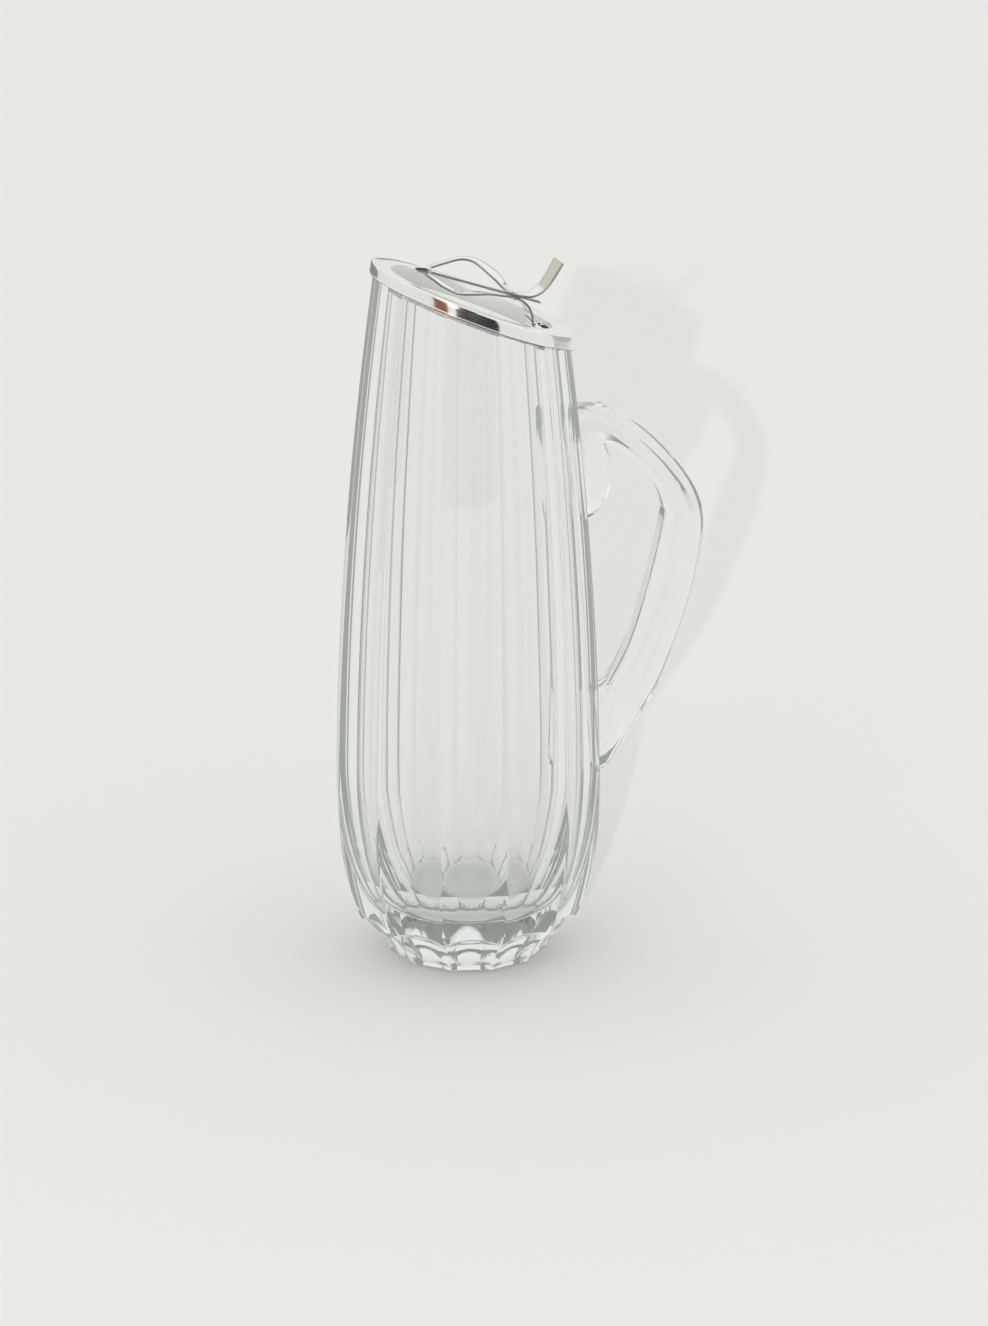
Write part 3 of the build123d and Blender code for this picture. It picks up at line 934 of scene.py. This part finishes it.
# Cards: name, turn, distance, width, low and high edge, colour
CARDS = [
    ("dark_card", 15.0, 1.5, 1.06, 0.02, 1.0, (0.02, 0.02, 0.025)),
    ("brown_card", -33.0, 1.5, 0.7, 0.02, 0.6, (0.3, 0.1, 0.05)),
    ("green_card", -150.0, 0.6, 0.7, 0.0, 0.25, (0.22, 0.23, 0.18)),
    ("beige_card", -150.0, 1.5, 1.2, 0.02, 0.8, (0.55, 0.53, 0.47)),
    ("grey_card", 130.0, 1.5, 0.8, 0.02, 0.8, (0.45, 0.44, 0.42)),
]


def make_card(name, turn, distance, width, low, high, color):
    """A standing card that the camera doesn't see, for the silver to reflect."""
    middle = CAMERA_TURN + math.radians(turn)
    across = Vector((-math.sin(middle), math.cos(middle), 0)) * width / 2
    centre = Vector((math.cos(middle), math.sin(middle), 0)) * distance
    corners = []
    for side, height in ((-1, low), (1, low), (1, high), (-1, high)):
        corners.append(centre + across * side + Vector((0, 0, height)))
    card = new_object(name, corners, [(0, 1, 2, 3)], new_material(name, color, 0.9)[0])
    card.visible_camera = False
    card.visible_shadow = False
    card.visible_diffuse = False
    card.visible_transmission = False


def make_lamp(name, place, size, power, aim):
    light = bpy.data.lights.new(name, "AREA")
    light.size = size
    light.energy = power
    lamp = bpy.data.objects.new(name, light)
    lamp.location = place
    lamp.rotation_euler = (Vector(aim) - Vector(place)).to_track_quat("-Z", "Y").to_euler()
    bpy.context.scene.collection.objects.link(lamp)


def make_sun(name, turn, rise, strength):
    """Faint hard light from beside the camera: it draws the shadow on the sheet."""
    light = bpy.data.lights.new(name, "SUN")
    light.energy = strength
    light.angle = SUN_WIDTH
    sun = bpy.data.objects.new(name, light)
    level = math.cos(math.radians(rise))
    angle = CAMERA_TURN + math.radians(turn)
    toward = Vector((math.cos(angle) * level, math.sin(angle) * level, math.sin(math.radians(rise))))
    sun.location = toward * 2
    sun.rotation_euler = (-toward).to_track_quat("-Z", "Y").to_euler()
    bpy.context.scene.collection.objects.link(sun)


# Camera: the photograph's frame and where the axis at mid-height falls in it
PHOTO_WIDTH = 988
PHOTO_HEIGHT = 1326
SENSOR = 36.0
VIEW_AZIMUTH = math.radians(18.0)
VIEW_ELEVATION = math.radians(18.5)
VIEW_DISTANCE = 2.2
VIEW_AIM = Vector((0, 0, 0.13))
METRES_PER_PIXEL = 0.000396
AIM_PIXEL = (467.5, 640.0)


def make_camera():
    camera = bpy.data.cameras.new("camera")
    viewer = bpy.data.objects.new("camera", camera)
    level = math.cos(VIEW_ELEVATION)
    side = -math.sin(VIEW_AZIMUTH) * level
    ahead = -math.cos(VIEW_AZIMUTH) * level
    back = Vector((side, ahead, math.sin(VIEW_ELEVATION)))
    viewer.location = VIEW_AIM + back * VIEW_DISTANCE
    viewer.rotation_euler = (-back).to_track_quat("-Z", "Y").to_euler()
    camera.sensor_width = SENSOR
    camera.lens = VIEW_DISTANCE / METRES_PER_PIXEL * SENSOR / PHOTO_HEIGHT
    camera.shift_x = -(AIM_PIXEL[0] - PHOTO_WIDTH / 2) / PHOTO_HEIGHT
    camera.shift_y = (AIM_PIXEL[1] - PHOTO_HEIGHT / 2) / PHOTO_HEIGHT
    bpy.context.scene.collection.objects.link(viewer)
    bpy.context.scene.camera = viewer


def dress_cad_nodes(materials):
    """The small nodes keep their own shape and take a detailed material."""
    for name, material in materials.items():
        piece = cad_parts[name]
        piece.data.materials.clear()
        piece.data.materials.append(material)


crystal = crystal_material()
silver = silver_material()
satin = satin_material()
worn_and_shaded = tarnish_and_shade_material()
steel = steel_material()
plaster = plaster_material()

glass = join_glass(make_vessel_form(crystal), make_handle_form(crystal), make_pad_form(crystal))
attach(glass, "vessel")
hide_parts("glass_body", "glass_handle")

collar = make_collar(silver, satin, worn_and_shaded)
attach(collar, "vessel")
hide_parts("rim_collar")

for name, stations, node in (
    ("silver_lever", LEVER_STATIONS, "lever_strip"),
    ("silver_strap", STRAP_STATIONS, "strap_strip"),
):
    strip = make_ribbon(name, stations, STRIP_THICKNESS, silver, worn_and_shaded)
    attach(strip, "guard")
    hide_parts(node)

rivet = make_junction_rivet(silver)
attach(rivet, "guard")
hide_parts("junction_rivet")

dress_cad_nodes({
    "setting_cement": plaster,
    "hinge_bracket": silver,
    "bracket_rivets": silver,
    "hinge_pin": steel,
    "hinge_knuckle": silver,
    # The centre strip takes the dark silver all over: painted shade where it lies between the other
    # strips, with tarnish patches
    "centre_strip": worn_and_shaded,
    "tip_ferrule": silver,
})

make_floor()
make_world()
for card in CARDS:
    make_card(*card)
make_lamp("key", (-1.3, -1.5, 1.5), 1.2, 3, (0, 0, 0.12))
make_sun("front", -5.4, 14.7, 0.95)
make_camera()
bpy.context.scene.view_settings.view_transform = "Standard"
